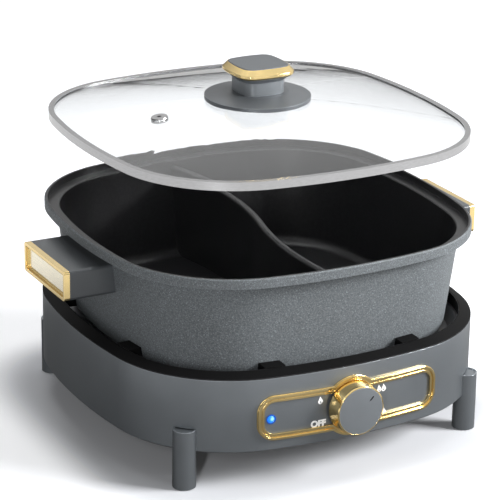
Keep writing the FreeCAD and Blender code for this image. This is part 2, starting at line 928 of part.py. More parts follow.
def rotary_switch():
    """A square switch body on a plate that is screwed to the housing's two studs."""
    face = switch_face_y()
    plate = round_plate(switch_plate_width / 2, switch_height / 2, 3, face, face + switch_plate)
    back = face + switch_plate + switch_depth
    body = box(V(-switch_width / 2, face, -switch_height / 2), V(switch_width / 2, back, switch_height / 2))
    tabs = []
    for x in (-8, 0, 8):
        tabs.append(box(V(x - 2.4, back, -8), V(x + 2.4, back + 6, -7.2)))
    bushing = rod(shaft_hole_radius - 0.2, V(0, face - 2, 0), V(0, face, 0))
    solid = plate.fuse([body, bushing] + tabs)
    solid.translate(ALONG_Z * panel_z)
    bore_end = switch_shaft().BoundBox.YMax + slip_gap
    bore = rod(shaft_radius + shaft_bore_gap, V(0, face - 3, panel_z), V(0, bore_end, panel_z))
    return solid.cut([bore, switch_screw(-switch_screw_spread), switch_screw(switch_screw_spread)])


def lamp_bore(gap):
    start = -rim.inset(housing_inset).side_at(lamp_x) - lamp_proud
    z = panel_z - lamp_drop
    return rod(lamp_radius + gap, V(lamp_x, start, z), V(lamp_x, start + lamp_proud + housing_wall + 3, z))


def indicator_lens():
    lens = lamp_bore(0)
    front = [e for e in lens.Edges if abs(e.BoundBox.YMax - lens.BoundBox.YMin) < 0.01]
    return lens.makeFillet(lamp_radius * 0.6, front)


def indicator_holder():
    """The lamp's socket behind the wall."""
    lens = lamp_bore(0)
    wall = -rim.inset(housing_inner_inset).side_at(lamp_x)
    half = lamp_holder / 2
    z = panel_z - lamp_drop
    block = box(V(lamp_x - half, wall - 1, z - half), V(lamp_x + half, wall + lamp_holder_depth, z + half))
    return block.common(rim.inset(housing_inner_inset).prism(z - half, z + half)).cut(lens)


# Mains inlet

def inlet_back_y():
    return rim_half - housing_inset + inlet_proud


def inlet_body(grow):
    """The inlet's barrel where it passes through the back wall."""
    solid = round_plate(inlet_width / 2 + grow, inlet_height / 2 + grow, inlet_corner,
                        inlet_back_y() - inlet_depth - inlet_wall, inlet_back_y())
    solid.translate(ALONG_Z * panel_z)
    return solid


def inlet_socket():
    """A three-pin appliance inlet: a barrel that stands out of the back wall, with a flange on it."""
    back = inlet_back_y()
    wall_y = back - inlet_proud
    half_x = inlet_width / 2
    half_z = inlet_height / 2
    flange = round_plate(half_x + inlet_flange_margin, half_z + inlet_flange_margin, inlet_corner,
                         wall_y - inlet_flange, wall_y + inlet_flange)
    flange.translate(ALONG_Z * panel_z)
    flange = flange.cut(rim.inset(housing_inset).prism(floor_gap, housing_top))
    hollow = round_plate(half_x - inlet_wall, half_z - inlet_wall, inlet_corner - inlet_wall / 2,
                         back - inlet_depth, back + 1)
    hollow.translate(ALONG_Z * panel_z)
    return flange.fuse(inlet_body(0)).cut([hollow] + inlet_pins())


def inlet_pins():
    """Three flat pins that stand in the barrel and end in tabs inside the housing."""
    start = inlet_back_y() - inlet_depth - inlet_wall - 6
    end = inlet_back_y() - inlet_depth + inlet_pin_length
    pins = []
    for side in (-1, 0, 1):
        raised = inlet_pin_raise if side == 0 else -inlet_pin_raise
        middle = V(side * inlet_pin_spread, 0, panel_z + raised)
        low = middle + V(-inlet_pin_thickness / 2, start, -inlet_pin_width / 2)
        pins.append(box(low, middle + V(inlet_pin_thickness / 2, end, inlet_pin_width / 2)))
    return pins


def terminal_block():
    """The block on the bottom cover where the inlet, switch and element are joined."""
    half = terminal_block_length / 2
    near = inlet_back_y() - inlet_depth - inlet_wall - 30 - terminal_block_width
    top = cover_top + terminal_block_height
    block = box(V(-half, near, cover_top), V(half, near + terminal_block_width, top))
    wells = []
    for place in (-0.3, -0.1, 0.1, 0.3):
        x = place * terminal_block_length
        mid = near + terminal_block_width / 2
        wells.append(rod(2.2, V(x, mid, top - 4), V(x, mid, top + 1)))
    return block.cut(wells)


# Lid

def dome_outline():
    return rim.inset(lid_inset + lid_band_sheet + push_gap)


def dome(drop, edge_inset):
    """A solid under one face of the dome: sections that shrink and rise from the edge to the middle."""
    outline = dome_outline().inset(edge_inset)
    wires = []
    for share in dome_sections:
        height = glass_bottom + glass - drop + dome_rise * (1 - share**dome_power)
        wires.append(outline.scaled(share).wire(height))
    return Part.makeLoft(wires, True)


def vent_tilt():
    share = abs(vent_x) / dome_outline().half
    slope = dome_rise * dome_power * share ** (dome_power - 1) / dome_outline().half
    return math.degrees(math.atan(slope))


def vent_seat_z():
    share = abs(vent_x) / dome_outline().half
    return glass_bottom + glass + dome_rise * (1 - share**dome_power)


def on_vent(shape):
    """Moves a shape made about Z to the vent, square to the sloping glass."""
    shape.rotate(ORIGIN, ALONG_Y, -vent_tilt())
    shape.translate(V(vent_x, 0, vent_seat_z()))
    return shape


def lid_glass():
    edge = dome_outline().prism(glass_bottom, glass_bottom + glass)
    hollow = dome(glass, glass_ring)
    solid = edge.fuse(dome(0, 0)).cut(hollow)
    screw_hole = rod(lid_screw_radius + slip_gap, V(0, 0, lid_bottom), V(0, 0, dome_top + 5))
    vent_hole = on_vent(rod(vent_hole_radius, V(0, 0, -glass * 3), V(0, 0, glass * 2)))
    crown_cut = box(V(-60, -60, dome_seat_z()), V(60, 60, dome_top + 9))
    return solid.cut([screw_hole, vent_hole, crown_cut])


def dome_seat_z():
    """Where the dome is cut level, under the lid knob's flange."""
    return glass_bottom + glass + dome_rise * (1 - dome_sections[-1] ** dome_power) - 0.05


def lid_band():
    """The steel band: a thin channel folded over the glass edge, above and below."""
    outer = rim.inset(lid_inset)
    solid = outer.prism(lid_bottom, lid_bottom + lid_band_height)
    top = lid_bottom + lid_band_height
    room = outer.inset(lid_band_sheet).prism(glass_bottom, top - lid_band_sheet)
    mouth = outer.inset(lid_band_fold).prism(lid_bottom - 1, top + 1)
    return solid.cut([room, mouth])


def vent_grommet():
    """A flanged bush in the vent hole with a small steam hole through it."""
    low = -glass - vent_flange
    return on_vent(turned([
        (steam_hole_radius, low), (vent_flange_radius, low), (vent_flange_radius, -glass - 0.3),
        (vent_hole_radius - push_gap, -glass - 0.3), (vent_hole_radius - push_gap, 0.15),
        (vent_flange_radius, 0.15), (vent_flange_radius - 0.5, vent_flange), (steam_hole_radius, vent_flange),
    ]))


def knob_outline(half, corner):
    return Outline(half, half * knob_side, corner)


def lid_flange_top():
    return dome_seat_z() + flange_edge + flange_rise


def lid_flange():
    """The wide disc under the lid knob, hollow below to clear the dome."""
    share = flange_radius / dome_outline().half
    edge_z = glass_bottom + glass + dome_rise * (1 - share**dome_power) + push_gap
    disc = turned([
        (lid_screw_radius + push_gap, edge_z), (flange_radius, edge_z),
        (flange_radius, edge_z + flange_edge), (neck_half * 1.35, lid_flange_top()),
        (lid_screw_radius + push_gap, lid_flange_top()),
    ])
    return disc.cut(lid_glass())


def lid_neck():
    """The lid knob's neck, which flares at its top to the underside of the crown."""
    start = lid_flange_top()
    outline = knob_outline(neck_half, neck_round)
    crown = knob_outline(crown_half, crown_round).inset(crown_underside)
    top = start + neck_height
    solid = outline.prism(start, top - neck_flare)
    flare = tapered(outline, top - neck_flare, outline.inset(neck_half - crown.half), top)
    return solid.fuse(flare).cut(lid_screw())


def lid_crown():
    """The gold bevelled ring of the lid knob, with a seat in its top for the cap."""
    start = lid_flange_top() + neck_height
    outline = knob_outline(crown_half, crown_round)
    top = start + crown_height
    underside = tapered(outline.inset(crown_underside), start, outline, start + crown_underside)
    body = outline.prism(start + crown_underside, top - crown_bevel)
    bevel = tapered(outline, top - crown_bevel, outline.inset(crown_bevel), top)
    cap_seat = crown_cap_outline().prism(top - crown_cap_sink, top + 1)
    return underside.fuse([body, bevel]).cut([cap_seat, lid_screw()])


def crown_cap_outline():
    return knob_outline(crown_half, crown_round).inset(crown_cap_inset)


def lid_cap():
    top = lid_flange_top() + neck_height + crown_height
    outline = crown_cap_outline()
    solid = outline.prism(top - crown_cap_sink, top)
    return solid.fuse(tapered(outline, top, outline.inset(crown_cap_edge), top + crown_cap_edge))


def lid_washer_z():
    """The top of the washer, against the underside of the glass."""
    return dome_seat_z() - glass - 0.05


def lid_screw():
    top = lid_flange_top() + neck_height + crown_height / 2
    seat = lid_washer_z() - lid_washer
    head = rod(lid_screw_head_radius, V(0, 0, seat - lid_screw_head), V(0, 0, seat))
    head = head.makeChamfer(lid_screw_edge, edges_at(head, seat - lid_screw_head))
    return head.fuse(rod(lid_screw_radius, V(0, 0, seat), V(0, 0, top)))


def washer():
    top = lid_washer_z()
    hole = lid_screw_radius + push_gap
    low = top - lid_washer
    return turned([(hole, low), (lid_washer_radius, low), (lid_washer_radius, top), (hole, top)])


def main():
    os.makedirs("parts", exist_ok=True)

    save("pot_shell", pot_shell())
    for side, place in (("right", lambda s: s), ("left", mirrored_x)):
        save("handle_grip_" + side, place(handle()))
        save("handle_frame_" + side, place(handle_frame()))
        save("handle_inlay_" + side, place(handle_inlay()))
    screw = handle_screw()
    save("handle_screws", screw, mirrored_x(screw))

    save("base_housing", base_housing())
    save("top_ring", top_ring())
    save("guide_pads", *guide_pads())
    save("bottom_cover", bottom_cover())
    save("cover_screws", *cover_screw_list())
    save("foot_posts", *quarter_turns(foot_post()))
    save("foot_pads", *quarter_turns(foot_pad()))
    save("foot_screws", *[foot_screw(quarter) for quarter in range(4)])
    save("reflector_pan", reflector_pan())
    save("pan_screws", *pan_screw_list())
    save("heating_plate", heating_plate())
    save("plate_posts", *plate_posts())
    save("element_ends", *element_ends())
    save("sensor_holder", sensor_holder())
    save("sensor_cap", sensor_cap())
    save("sensor_clip", sensor_clip())
    save("sensor_spring", sensor_spring())

    save("panel_frame", panel_frame())
    save("knob_skirt", knob_skirt())
    save("knob_face", knob_face())
    save("knob_pointer", knob_pointer())
    save("switch_shaft", switch_shaft())
    save("rotary_switch", rotary_switch())
    save("switch_screws", *[switch_screw(x) for x in (-switch_screw_spread, switch_screw_spread)])
    save("indicator_lens", indicator_lens())
    save("indicator_holder", indicator_holder())
    save("inlet_socket", inlet_socket())
    save("inlet_pins", *inlet_pins())
    save("terminal_block", terminal_block())

    save("lid_glass", lid_glass())
    save("lid_band", lid_band())
    save("vent_grommet", vent_grommet())
    save("lid_flange", lid_flange())
    save("lid_neck", lid_neck())
    save("lid_crown", lid_crown())
    save("lid_cap", lid_cap())
    save("lid_screw", lid_screw())
    save("lid_washer", washer())


main()
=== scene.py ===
"""The looks of an electric hot pot with a raised glass lid: finishes, dial marks and studio."""

import math

import bmesh
import bpy
from mathutils import Matrix, Vector


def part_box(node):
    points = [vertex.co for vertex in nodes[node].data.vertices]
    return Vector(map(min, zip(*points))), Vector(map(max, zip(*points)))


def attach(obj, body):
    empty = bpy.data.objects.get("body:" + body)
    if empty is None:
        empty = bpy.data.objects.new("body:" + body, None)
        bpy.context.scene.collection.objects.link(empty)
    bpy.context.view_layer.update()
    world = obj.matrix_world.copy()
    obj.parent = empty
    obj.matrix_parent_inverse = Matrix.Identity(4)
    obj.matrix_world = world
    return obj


bl_info = {
    "name": "Hot pot looks",
    "version": (1, 0, 0),
    "blender": (4, 5, 0),
    "location": "3D View > Sidebar > Hot pot",
    "description": "Finishes, dial marks and studio for an electric hot pot",
    "category": "Object",
}

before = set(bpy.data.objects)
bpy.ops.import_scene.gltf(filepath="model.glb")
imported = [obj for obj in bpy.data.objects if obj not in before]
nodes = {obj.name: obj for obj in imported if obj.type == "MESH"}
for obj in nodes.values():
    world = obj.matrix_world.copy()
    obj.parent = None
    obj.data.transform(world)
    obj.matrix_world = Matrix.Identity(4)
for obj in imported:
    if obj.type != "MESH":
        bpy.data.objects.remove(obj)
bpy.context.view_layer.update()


# Settings

class FinishSettings(bpy.types.PropertyGroup):
    """Colours of the object's finishes, as they should look in plain light."""

    paint: bpy.props.FloatVectorProperty(
        name="Paint", description="Satin grey of the base, feet and grips", subtype="COLOR",
        default=(0.205, 0.223, 0.24))
    coat: bpy.props.FloatVectorProperty(
        name="Pot coat", description="Matte speckled grey of the pot's outside", subtype="COLOR",
        default=(0.15, 0.166, 0.177))
    non_stick: bpy.props.FloatVectorProperty(
        name="Non-stick", description="Black lining of the pot", subtype="COLOR",
        default=(0.012, 0.012, 0.013))
    gold: bpy.props.FloatVectorProperty(
        name="Gold", description="Bright gold of the panel frame, dial and lid knob",
        subtype="COLOR", default=(0.86, 0.66, 0.31))
    champagne: bpy.props.FloatVectorProperty(
        name="Champagne", description="Pale gold plates at the ends of the grips", subtype="COLOR",
        default=(0.97, 0.9, 0.72))
    steel: bpy.props.FloatVectorProperty(
        name="Steel", description="Rolled steel of the lid's band", subtype="COLOR",
        default=(0.46, 0.46, 0.465))
    black: bpy.props.FloatVectorProperty(
        name="Black plastic", description="Heat-resistant ring and bottom cover", subtype="COLOR",
        default=(0.004, 0.004, 0.0043))
    lamp: bpy.props.FloatVectorProperty(
        name="Lamp", description="Light of the indicator lamp", subtype="COLOR",
        default=(0.01, 0.2, 0.95))
    collar: bpy.props.FloatVectorProperty(
        name="Lamp collar", description="Tinted ring that the lamp shines through",
        subtype="COLOR", default=(0.01, 0.09, 0.4))
    mark: bpy.props.FloatVectorProperty(
        name="Marks", description="Printed white marks round the dial", subtype="COLOR",
        default=(0.95, 0.95, 0.95))


class MarkSettings(bpy.types.PropertyGroup):
    """Sizes and places of what is on the panel. A place is across from its middle, and up."""

    word_height: bpy.props.FloatProperty(
        name="Word height", description="Height of the capitals of OFF", unit="LENGTH",
        default=0.0048)
    word_weight: bpy.props.FloatProperty(
        name="Word weight", description="How much the letters' strokes are thickened",
        unit="LENGTH", default=0.0003)
    word_place: bpy.props.FloatVectorProperty(
        name="Word place", description="Middle of OFF", size=2, unit="LENGTH",
        default=(-0.0272, 0.0440))
    flame_height: bpy.props.FloatProperty(
        name="Flame height", description="Height of one flame", unit="LENGTH", default=0.0062)
    one_flame_place: bpy.props.FloatVectorProperty(
        name="One flame", description="Middle of the low heat's flame", size=2, unit="LENGTH",
        default=(-0.0262, 0.0626))
    two_flames_place: bpy.props.FloatVectorProperty(
        name="Two flames", description="Middle of the medium heat's flames", size=2,
        unit="LENGTH", default=(0.0252, 0.0627))
    three_flames_place: bpy.props.FloatVectorProperty(
        name="Three flames", description="Middle of the high heat's flames", size=2,
        unit="LENGTH", default=(0.0242, 0.0432))
    thickness: bpy.props.FloatProperty(
        name="Thickness", description="How far a mark stands off the panel", unit="LENGTH",
        default=0.00015)
    collar_radius: bpy.props.FloatProperty(
        name="Collar radius", description="Outside of the lamp's collar", unit="LENGTH",
        default=0.0039)
    collar_rise: bpy.props.FloatProperty(
        name="Collar rise", description="How far the lamp's collar stands off the panel",
        unit="LENGTH", default=0.0005)


class StudioSettings(bpy.types.PropertyGroup):
    """The camera's place and the strength of the studio's lamps."""

    azimuth: bpy.props.FloatProperty(
        name="Azimuth", description="Camera's turn round the object", unit="ROTATION",
        default=math.radians(-28.17))
    elevation: bpy.props.FloatProperty(
        name="Elevation", description="Camera's height angle", unit="ROTATION",
        default=math.radians(20.06))
    roll: bpy.props.FloatProperty(
        name="Roll", description="Camera's lean", unit="ROTATION", default=math.radians(0.89))
    distance: bpy.props.FloatProperty(
        name="Distance", description="From the camera to its target", unit="LENGTH",
        default=1.81557)
    target: bpy.props.FloatVectorProperty(
        name="Target", description="Point that the camera looks at", subtype="TRANSLATION",
        unit="LENGTH", default=(0.00083, 0.00991, 0.12092))
    lens: bpy.props.FloatProperty(
        name="Lens", description="Focal length in millimetres", unit="CAMERA", default=167.75)
    key: bpy.props.FloatProperty(
        name="Key lamp", description="Power of the large right lamp", unit="POWER", default=84.0)
    strip: bpy.props.FloatProperty(
        name="Strip lamp", description="Power of the narrow left lamp", unit="POWER",
        default=12.0)
    top: bpy.props.FloatProperty(
        name="Top lamp", description="Power of the lamp overhead", unit="POWER", default=15.0)
    sky: bpy.props.FloatProperty(
        name="Sky", description="Strength of the light from all round", subtype="FACTOR",
        default=0.12)
    horizon: bpy.props.FloatProperty(
        name="Horizon", description="How bright mirrors see the sky at the horizon",
        subtype="FACTOR", default=0.12)


# Shader building

class Field:
    """A value that changes over a surface. Its operators add the Math nodes they stand for."""

    def __init__(self, graph, socket):
        self.graph = graph
        self.socket = socket

    def combine(self, operation, *values):
        return self.graph.add("ShaderNodeMath", {"operation": operation}, dict(enumerate(values)))

    def __add__(self, other):
        return self.combine("ADD", self, other)

    def __radd__(self, other):
        return self.combine("ADD", other, self)

    def __sub__(self, other):
        return self.combine("SUBTRACT", self, other)

    def __rsub__(self, other):
        return self.combine("SUBTRACT", other, self)

    def __mul__(self, other):
        return self.combine("MULTIPLY", self, other)

    def __rmul__(self, other):
        return self.combine("MULTIPLY", other, self)

    def __truediv__(self, other):
        return self.combine("DIVIDE", self, other)

    def __rtruediv__(self, other):
        return self.combine("DIVIDE", other, self)

    def __gt__(self, other):
        return self.combine("GREATER_THAN", self, other)

    def __lt__(self, other):
        return self.combine("LESS_THAN", self, other)

    def squared(self):
        return self * self

    def root(self):
        return self.combine("SQRT", self)

    def wave(self):
        return self.combine("SINE", self)

    def larger(self, other):
        return self.combine("MAXIMUM", self, other)

    def ramp(self, low, high):
        """0 up to low, 1 from high on, and smooth between them."""
        return self.graph.add(
            "ShaderNodeMapRange", {"interpolation_type": "SMOOTHSTEP"},
            {"Value": self, "From Min": low, "From Max": high})


class Graph:
    """The nodes of one material or of the world."""

    def __init__(self, owner):
        owner.use_nodes = True
        self.owner = owner
        self.tree = owner.node_tree

    def add(self, kind, settings=None, values=None, take=0):
        """Adds a node. Its settings are set first, then its sockets get values or links.

        take names the output that comes back, or is a tuple of names for a list of outputs.
        """
        node = self.tree.nodes.new(kind)
        for name, value in (settings or {}).items():
            setattr(node, name, value)
        self.fill(node, values or {})
        if isinstance(take, tuple):
            return [Field(self, node.outputs[name]) for name in take]
        return Field(self, node.outputs[take]) if node.outputs else None

    def fill(self, node, values):
        for name, value in values.items():
            if isinstance(value, Field):
                self.tree.links.new(value.socket, node.inputs[name])
            else:
                node.inputs[name].default_value = value

    def place(self):
        return self.add("ShaderNodeTexCoord", take="Object")

    def split(self, vector):
        return self.add("ShaderNodeSeparateXYZ", None, {0: vector}, ("X", "Y", "Z"))

    def surface(self):
        """The way the surface faces."""
        return self.add("ShaderNodeNewGeometry", take="Normal")

    def ray(self, kind):
        """1 for light rays of one kind, 0 for all others."""
        return self.add("ShaderNodeLightPath", take="Is %s Ray" % kind)

    def stretched(self, scale):
        """The point on the object, scaled unevenly, for grain that runs one way."""
        return self.add("ShaderNodeMapping", None, {"Vector": self.place(), "Scale": scale})

    def noise(self, scale, detail, roughness=0.5, vector=None):
        values = {"Vector": vector or self.place(), "Scale": scale, "Detail": detail,
                  "Roughness": roughness}
        return self.add("ShaderNodeTexNoise", None, values)

    def tint(self, factor, low, high):
        """A colour between two, by a field."""
        low, high = (end if isinstance(end, Field) else opaque(end) for end in (low, high))
        values = {0: factor, 6: low, 7: high}
        return self.add("ShaderNodeMix", {"data_type": "RGBA"}, values, 2)

    def bump(self, height, distance, strength, normal=None):
        values = {"Height": height, "Distance": distance, "Strength": strength}
        if normal:
            values["Normal"] = normal
        return self.add("ShaderNodeBump", None, values)

    def soft_edges(self, radius):
        return self.add("ShaderNodeBevel", {"samples": 4}, {"Radius": radius})

    def edges(self, radius):
        """1 along outside and inside edges, 0 on even faces."""
        rounded = self.add("ShaderNodeBevel", {"samples": 6}, {"Radius": radius})
        match = self.add("ShaderNodeVectorMath", {"operation": "DOT_PRODUCT"},
                         {0: rounded, 1: self.surface()}, "Value")
        return (1 - match).ramp(0.03, 0.25)

    def finish(self, **values):
        """Sets the shader's own sockets, named with _ for a space, and gives the material."""
        names = {name.replace("_", " "): value for name, value in values.items()}
        self.fill(self.tree.nodes["Principled BSDF"], names)
        return self.owner


def new_graph(name):
    return Graph(bpy.data.materials.new(name))


def shade(colour, factor):
    return tuple(part * factor for part in colour)


def opaque(colour):
    return (*colour, 1)


# Finishes

def satin_paint(name, colour, roughness=0.3, metallic=0.6):
    """Sprayed satin paint with a fine orange peel, flecks and a painted highlight along its edges.
    """
    graph = new_graph(name)
    peel = graph.noise(scale=900, detail=2)
    cloud = graph.noise(scale=18, detail=3)
    fleck = graph.noise(scale=5200, detail=1)
    body = graph.tint(cloud.ramp(0.3, 0.7), shade(colour, 0.94), shade(colour, 1.06))
    flecked = graph.tint(fleck.ramp(0.62, 0.8), body, shade(colour, 1.5))
    # Painted highlight: the edges are painted much paler, in place of light caught by rounded
    # edges.
    painted_edge_highlight = graph.tint(graph.edges(0.0008), flecked, shade(colour, 2.6))
    relief = graph.bump(peel, distance=0.00002, strength=0.35, normal=graph.soft_edges(0.0005))
    return graph.finish(
        Base_Color=painted_edge_highlight, Metallic=metallic, Roughness=roughness + 0.06 * (cloud - 0.5),
        Normal=relief, Coat_Weight=0.12, Coat_Roughness=0.2)


def pot_finish(name, coat, lining):
    """Speckled matte grey outside with a painted highlight along its edges, and a black non-stick
    lining inside and over the lip.
    """
    wall_reach = 0.118  # the wall's outside lies further from the middle than this
    foot_height = 0.02  # the rounded bottom edge reaches this far up
    graph = new_graph(name)
    x, y, z = graph.split(graph.place())
    normal_x, normal_y, normal_z = graph.split(graph.surface())
    reach = (x.squared() + y.squared()).root()
    outwards = (x * normal_x + y * normal_y) / reach
    wall = (outwards > 0.3) * (reach > wall_reach)
    underside = (normal_z < -0.3) * (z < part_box("pot_shell")[0].z + foot_height)
    outside = wall.larger(underside)
    grain = graph.noise(scale=900, detail=3, roughness=0.6)
    speckle = graph.noise(scale=1300, detail=2)
    pebble = graph.noise(scale=420, detail=2)
    grey = graph.tint(grain.ramp(0.35, 0.7), shade(coat, 0.68), shade(coat, 1.2))
    speckled = graph.tint(speckle.ramp(0.58, 0.7), grey, shade(coat, 2.1))
    # Painted highlight: the coat's edges are painted much paler, in place of light caught by
    # rounded edges.
    painted_edge_highlight = graph.tint(graph.edges(0.0008), speckled, shade(coat, 2.2))
    black = graph.tint(pebble.ramp(0.3, 0.7), shade(lining, 0.8), shade(lining, 1.3))
    relief = graph.bump(grain * outside + 0.12 * pebble, distance=0.00012, strength=0.5,
                        normal=graph.soft_edges(0.0006))
    return graph.finish(
        Base_Color=graph.tint(outside, black, painted_edge_highlight),
        Roughness=0.3 + 0.1 * pebble + outside * (0.22 + 0.06 * grain), Normal=relief)


def moulded(name, colour, roughness, grain=1400, edge_highlight=1.5):
    """Moulded plastic or rubber with a fine etched grain and a painted highlight along its edges.
    """
    graph = new_graph(name)
    etch = graph.noise(scale=grain, detail=3)
    wear = graph.noise(scale=30, detail=3)
    tone = graph.tint(wear.ramp(0.3, 0.75), shade(colour, 0.9), shade(colour, 1.15))
    # Painted highlight: the edges are painted paler, in place of light caught by rounded edges.
    tone_with_painted_edges = graph.tint(graph.edges(0.0006), tone, shade(colour, edge_highlight))
    relief = graph.bump(etch, distance=0.00004, strength=0.4, normal=graph.soft_edges(0.0005))
    return graph.finish(
        Base_Color=tone_with_painted_edges, Roughness=roughness + 0.08 * (wear - 0.5), Specular_IOR_Level=0.1,
        Normal=relief)


def bright_metal(name, colour, roughness=0.12):
    """Polished plate with faint polishing haze."""
    graph = new_graph(name)
    haze = graph.noise(scale=60, detail=4)
    hair = graph.noise(scale=500, detail=2, vector=graph.stretched((0.15, 1, 1)))
    relief = graph.bump(hair, distance=0.00001, strength=0.2, normal=graph.soft_edges(0.0004))
    return graph.finish(
        Base_Color=graph.tint(haze.ramp(0.3, 0.7), shade(colour, 0.93), colour), Metallic=1.0,
        Roughness=roughness + 0.07 * (haze - 0.5) + 0.03 * hair, Normal=relief)


def brushed(name, colour, roughness, stretch):
    """Metal brushed along the axis that is stretched the least."""
    graph = new_graph(name)
    hair = graph.noise(scale=2600, detail=3, roughness=0.7, vector=graph.stretched(stretch))
    return graph.finish(
        Base_Color=graph.tint(hair.ramp(0.3, 0.75), shade(colour, 0.86), colour), Metallic=1.0,
        Roughness=roughness + 0.12 * (hair - 0.5),
        Normal=graph.bump(hair, distance=0.00002, strength=0.35))


def cast(name, colour):
    """Turned casting with fine rings round the middle."""
    graph = new_graph(name)
    x, y, _ = graph.split(graph.place())
    rings = ((x.squared() + y.squared()).root() * 6000).wave()
    mottle = graph.noise(scale=90, detail=4)
    return graph.finish(
        Base_Color=graph.tint(mottle.ramp(0.3, 0.7), shade(colour, 0.8), colour), Metallic=1.0,
        Roughness=0.4 + 0.15 * mottle,
        Normal=graph.bump(rings, distance=0.00002, strength=0.3))


def clear_glass(name):
    """Tempered clear glass with faint smears."""
    graph = new_graph(name)
    smear = graph.noise(scale=14, detail=4)
    return graph.finish(
        Base_Color=(0.87, 0.885, 0.89, 1), Roughness=0.012 * smear.ramp(0.4, 0.9), IOR=1.45,
        Transmission_Weight=1.0)


def lamp_lens(name, colour):
    """A lit blue lens with a painted glint: a pale glowing spot a little off its middle."""
    # Place and size of the painted glint on the lens.
    glint_shift_x, glint_shift_z, glint_radius = 0.0004, 0.0006, 0.0019
    graph = new_graph(name)
    x, _, z = graph.split(graph.place())
    low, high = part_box("indicator_lens")
    middle = (low + high) / 2
    off_x = x - (middle.x + glint_shift_x)
    off_z = z - (middle.z + glint_shift_z)
    # Painted glint: a pale glowing spot, in place of a reflected highlight on the lens.
    painted_glint = 1 - (off_x.squared() + off_z.squared()).ramp(0.0, glint_radius**2)
    grain = graph.noise(scale=3000, detail=1)
    return graph.finish(
        Base_Color=opaque(colour), Roughness=0.12 + 0.05 * grain, Coat_Weight=0.5,
        Emission_Color=graph.tint(painted_glint * (0.9 + 0.2 * grain), colour, (0.5, 0.9, 1.0)),
        Emission_Strength=0.9)


def tinted_lens(name, colour):
    """Blue plastic that glows a little with the lamp behind it."""
    graph = new_graph(name)
    grain = graph.noise(scale=3000, detail=1)
    return graph.finish(
        Base_Color=opaque(shade(colour, 0.5)), Roughness=0.2 + 0.05 * grain, Coat_Weight=0.5,
        Emission_Color=graph.tint(grain, shade(colour, 0.8), colour), Emission_Strength=0.7)


def mark_paint(colour):
    """White print, made once for all marks. It glows a little: painted light that keeps it bright.
    """
    name = "mark_paint"
    if name in bpy.data.materials:
        return bpy.data.materials[name]
    graph = new_graph(name)
    grain = graph.noise(scale=4000, detail=1)
    return graph.finish(
        Base_Color=graph.tint(grain, shade(colour, 0.92), colour), Roughness=0.5 + 0.1 * grain,
        Normal=graph.bump(grain, distance=0.00001, strength=0.2),
        # Painted light: the print glows a little though it is no lamp.
        Emission_Color=opaque(colour), Emission_Strength=0.25)


def finish_of_each_node(settings):
    """Which finish each of the frame's nodes gets."""
    paint = satin_paint("grey_paint", settings.paint)
    grip = satin_paint("grip_paint", shade(settings.paint, 0.42), metallic=0.1)
    dial = satin_paint("dial_paint", shade(settings.paint, 0.9), roughness=0.42, metallic=0.3)
    knob = satin_paint("lid_knob_paint", shade(settings.paint, 0.6), roughness=0.42, metallic=0.35)
    pot = pot_finish("pot_coat", settings.coat, settings.non_stick)
    gold = bright_metal("gold_plate", settings.gold)
    champagne = brushed("champagne_plate", settings.champagne, 0.2, stretch=(1, 0.04, 1))
    steel = brushed("lid_steel", settings.steel, 0.22, stretch=(0.1, 0.1, 1))
    zinc = bright_metal("zinc_plate", (0.5, 0.5, 0.5), 0.32)
    # The black plastic gets a strong painted highlight along its edges: thin light lines.
    black = moulded("black_plastic", settings.black, 0.62, edge_highlight=40)
    rubber = moulded("black_rubber", shade(settings.black, 0.9), 0.7, grain=900)
    alloy = cast("cast_alloy", (0.5, 0.5, 0.52))
    sheet = brushed("pan_sheet", (0.5, 0.5, 0.51), 0.38, stretch=(0.2, 1, 1))
    tube = bright_metal("element_tube", (0.3, 0.28, 0.26), 0.42)
    brass = bright_metal("pin_brass", (0.7, 0.58, 0.33), 0.3)
    bakelite = moulded("switch_plastic", (0.05, 0.045, 0.04), 0.5)
    return {
        pot: ["pot_shell"],
        grip: ["handle_grip_left", "handle_grip_right"],
        gold: ["handle_frame_left", "handle_frame_right", "panel_frame", "knob_skirt", "lid_crown"],
        champagne: ["handle_inlay_left", "handle_inlay_right"],
        paint: ["base_housing", "foot_posts"],
        dial: ["knob_face", "lid_neck"],
        knob: ["lid_flange", "lid_cap"],
        black: ["top_ring", "bottom_cover", "inlet_socket", "knob_pointer"],
        rubber: ["guide_pads", "foot_pads", "lid_washer"],
        steel: ["lid_band", "vent_grommet"],
        zinc: ["handle_screws", "cover_screws", "foot_screws", "pan_screws", "plate_posts",
               "sensor_holder", "sensor_clip", "sensor_spring", "switch_shaft", "switch_screws",
               "lid_screw"],
        alloy: ["heating_plate", "sensor_cap"],
        sheet: ["reflector_pan"],
        tube: ["element_ends"],
        brass: ["inlet_pins"],
        bakelite: ["rotary_switch", "indicator_holder", "terminal_block"],
        clear_glass("clear_glass"): ["lid_glass"],
        lamp_lens("blue_lamp", settings.lamp): ["indicator_lens"],
    }


def wear(piece, material):
    """Give a piece one material in place of any that it has."""
    piece.data.materials.clear()
    piece.data.materials.append(material)


class HOTPOT_OT_finishes(bpy.types.Operator):
    """Give every node of the frame its finish"""

    bl_idname = "hotpot.finishes"
    bl_label = "Finishes"

    def execute(self, context):
        for material, names in finish_of_each_node(context.scene.hotpot_finish).items():
            for name in names:
                wear(nodes[name], material)
        return {"FINISHED"}


# Panel marks and lamp collar

WALL_RADIUS = 0.4406  # of the bulged front wall that the panel lies on
CAPITAL_HEIGHT = 0.7  # of a letter, as a share of the font's size
FLAME_SIDES = 28
COLLAR_SIDES = 48
SAME_POINT = 0.000001  # points closer than this are merged


def only(context, piece):
    """Make one object the active and the only selected one."""
    bpy.ops.object.select_all(action="DESELECT")
    piece.select_set(True)
    context.view_layer.objects.active = piece


